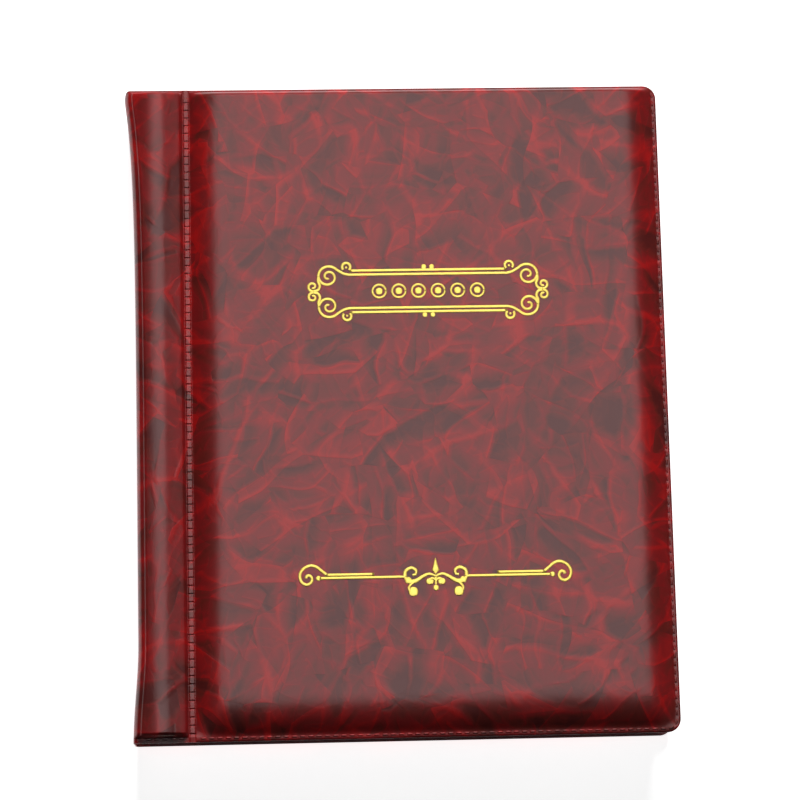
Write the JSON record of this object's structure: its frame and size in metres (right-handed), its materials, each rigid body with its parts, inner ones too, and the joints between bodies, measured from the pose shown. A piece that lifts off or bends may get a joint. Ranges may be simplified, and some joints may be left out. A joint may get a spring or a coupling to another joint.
{
  "type": "coin album",
  "caption": "Padded, heat-welded album with a rolled spine, hinged covers and clear leaves of coin pockets on screw posts.",
  "frame": {"origin": "centre of the footprint, on the surface that the back cover lies on", "axes": "+X from the spine to the fore edge, +Y up the covers along the spine, +Z towards the front cover"},
  "size_m": [0.2, 0.245, 0.03],
  "materials": {
    "pvc_skin": "glossy marbled",
    "foam": "open foam",
    "greyboard": "raw",
    "pvc_lining": "fine grain",
    "flange": "moulded",
    "post_metal": "nickel plated",
    "spacer": "milky",
    "leaf_film": "clear film",
    "leaf_weld": "ribbed weld",
    "gold_foil": "hot-stamped foil"
  },
  "bodies": {
    "back_panel": {"back_panel_skin": "pvc_skin", "back_panel_foam": "foam", "back_panel_board": "greyboard", "back_panel_lining": "pvc_lining"},
    "back_strip": {"back_strip_skin": "pvc_skin", "back_strip_foam": "foam", "back_strip_board": "greyboard", "back_strip_lining": "pvc_lining"},
    "binding": {"spine_skin": "pvc_skin", "spine_foam": "foam", "spine_board": "greyboard", "front_flange": "flange", "back_flange": "flange", "binding_posts": "post_metal", "binding_screws": "post_metal", "spacer_strips": "spacer", "leaf_margins": "leaf_film"},
    "front_strip": {"front_strip_skin": "pvc_skin", "front_strip_foam": "foam", "front_strip_board": "greyboard", "front_strip_lining": "pvc_lining"},
    "front_panel": {"front_panel_skin": "pvc_skin", "front_panel_foam": "foam", "front_panel_board": "greyboard", "front_panel_lining": "pvc_lining", "title_frame_foil": "gold_foil", "title_emblem_foil": "gold_foil", "lower_ornament_foil": "gold_foil"},
    "leaf_01": {"leaf_01_back_film": "leaf_film", "leaf_01_pocket_film": "leaf_film", "leaf_01_welds": "leaf_weld"},
    "leaf_02": {"leaf_02_back_film": "leaf_film", "leaf_02_pocket_film": "leaf_film", "leaf_02_welds": "leaf_weld"},
    "leaf_03": {"leaf_03_back_film": "leaf_film", "leaf_03_pocket_film": "leaf_film", "leaf_03_welds": "leaf_weld"},
    "leaf_04": {"leaf_04_back_film": "leaf_film", "leaf_04_pocket_film": "leaf_film", "leaf_04_welds": "leaf_weld"},
    "leaf_05": {"leaf_05_back_film": "leaf_film", "leaf_05_pocket_film": "leaf_film", "leaf_05_welds": "leaf_weld"},
    "leaf_06": {"leaf_06_back_film": "leaf_film", "leaf_06_pocket_film": "leaf_film", "leaf_06_welds": "leaf_weld"},
    "leaf_07": {"leaf_07_back_film": "leaf_film", "leaf_07_pocket_film": "leaf_film", "leaf_07_welds": "leaf_weld"},
    "leaf_08": {"leaf_08_back_film": "leaf_film", "leaf_08_pocket_film": "leaf_film", "leaf_08_welds": "leaf_weld"},
    "leaf_09": {"leaf_09_back_film": "leaf_film", "leaf_09_pocket_film": "leaf_film", "leaf_09_welds": "leaf_weld"},
    "leaf_10": {"leaf_10_back_film": "leaf_film", "leaf_10_pocket_film": "leaf_film", "leaf_10_welds": "leaf_weld"}
  },
  "joints": [
    {"name": "back_panel_hinge", "type": "hinge", "parent": "back_panel", "child": "back_strip", "pos_m": [-0.0785, 0, 0.00345], "axis": [0, 1, 0], "range_deg": [-30, 0]},
    {"name": "spine_hinge", "type": "hinge", "parent": "back_strip", "child": "binding", "pos_m": [-0.1, 0, 0], "axis": [0, 1, 0], "range_deg": [-90, 0]},
    {"name": "front_cover_hinge", "type": "hinge", "parent": "binding", "child": "front_strip", "pos_m": [-0.1, 0, 0.0299], "axis": [0, -1, 0], "range_deg": [0, 187]},
    {"name": "front_panel_hinge", "type": "hinge", "parent": "front_strip", "child": "front_panel", "pos_m": [-0.0785, 0, 0.02645], "axis": [0, 1, 0], "range_deg": [-60, 0]},
    {"name": "leaf_01_hinge", "type": "hinge", "parent": "binding", "child": "leaf_01", "pos_m": [-0.07221, 0, 0.00748], "axis": [0, -1, 0], "range_deg": [0, 8.5]},
    {"name": "leaf_02_hinge", "type": "hinge", "parent": "binding", "child": "leaf_02", "pos_m": [-0.07222, 0, 0.00914], "axis": [0, -1, 0], "range_deg": [0, 16.9]},
    {"name": "leaf_03_hinge", "type": "hinge", "parent": "binding", "child": "leaf_03", "pos_m": [-0.07224, 0, 0.0108], "axis": [0, -1, 0], "range_deg": [0, 27.2]},
    {"name": "leaf_04_hinge", "type": "hinge", "parent": "binding", "child": "leaf_04", "pos_m": [-0.07228, 0, 0.01246], "axis": [0, -1, 0], "range_deg": [0, 37.5]},
    {"name": "leaf_05_hinge", "type": "hinge", "parent": "binding", "child": "leaf_05", "pos_m": [-0.07235, 0, 0.01412], "axis": [0, -1, 0], "range_deg": [0, 49.7]},
    {"name": "leaf_06_hinge", "type": "hinge", "parent": "binding", "child": "leaf_06", "pos_m": [-0.0725, 0, 0.01578], "axis": [0, -1, 0], "range_deg": [0, 61.8]},
    {"name": "leaf_07_hinge", "type": "hinge", "parent": "binding", "child": "leaf_07", "pos_m": [-0.0728, 0, 0.01744], "axis": [0, -1, 0], "range_deg": [0, 75.8]},
    {"name": "leaf_08_hinge", "type": "hinge", "parent": "binding", "child": "leaf_08", "pos_m": [-0.0734, 0, 0.0191], "axis": [0, -1, 0], "range_deg": [0, 93.6]},
    {"name": "leaf_09_hinge", "type": "hinge", "parent": "binding", "child": "leaf_09", "pos_m": [-0.0746, 0, 0.02076], "axis": [0, -1, 0], "range_deg": [0, 117]},
    {"name": "leaf_10_hinge", "type": "hinge", "parent": "binding", "child": "leaf_10", "pos_m": [-0.077, 0, 0.02242], "axis": [0, -1, 0], "range_deg": [0, 147.8]}
  ],
  "couplings": [
    {"joint": "leaf_01_hinge", "follows": "front_cover_hinge", "ratio": 0.045},
    {"joint": "leaf_02_hinge", "follows": "front_cover_hinge", "ratio": 0.09},
    {"joint": "leaf_03_hinge", "follows": "front_cover_hinge", "ratio": 0.145},
    {"joint": "leaf_04_hinge", "follows": "front_cover_hinge", "ratio": 0.2},
    {"joint": "leaf_05_hinge", "follows": "front_cover_hinge", "ratio": 0.265},
    {"joint": "leaf_06_hinge", "follows": "front_cover_hinge", "ratio": 0.33},
    {"joint": "leaf_07_hinge", "follows": "front_cover_hinge", "ratio": 0.405},
    {"joint": "leaf_08_hinge", "follows": "front_cover_hinge", "ratio": 0.5},
    {"joint": "leaf_09_hinge", "follows": "front_cover_hinge", "ratio": 0.625},
    {"joint": "leaf_10_hinge", "follows": "front_cover_hinge", "ratio": 0.79}
  ]
}
